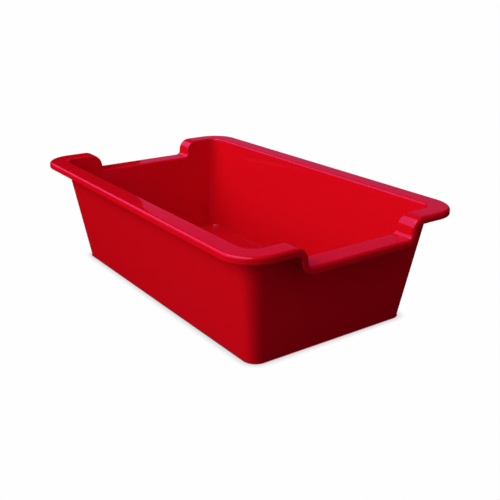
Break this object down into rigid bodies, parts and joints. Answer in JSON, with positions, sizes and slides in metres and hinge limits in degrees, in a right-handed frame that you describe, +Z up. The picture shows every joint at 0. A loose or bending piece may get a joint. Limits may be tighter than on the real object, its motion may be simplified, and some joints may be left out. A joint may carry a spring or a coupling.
{
  "type": "art supply box",
  "caption": "Open moulded plastic tub for art supplies, with leaning walls, a broad rim with a turned-down lip, and a hand notch in each end.",
  "frame": {"origin": "centre of the underside of the base", "axes": "+X along the tub's length, +Y across its width, +Z up out of its open top"},
  "size_m": [0.343, 0.207, 0.095],
  "materials": {
    "red_plastic": "semi-gloss, smooth moulded"
  },
  "bodies": {
    "root": {"tub": "red_plastic"}
  },
  "joints": []
}
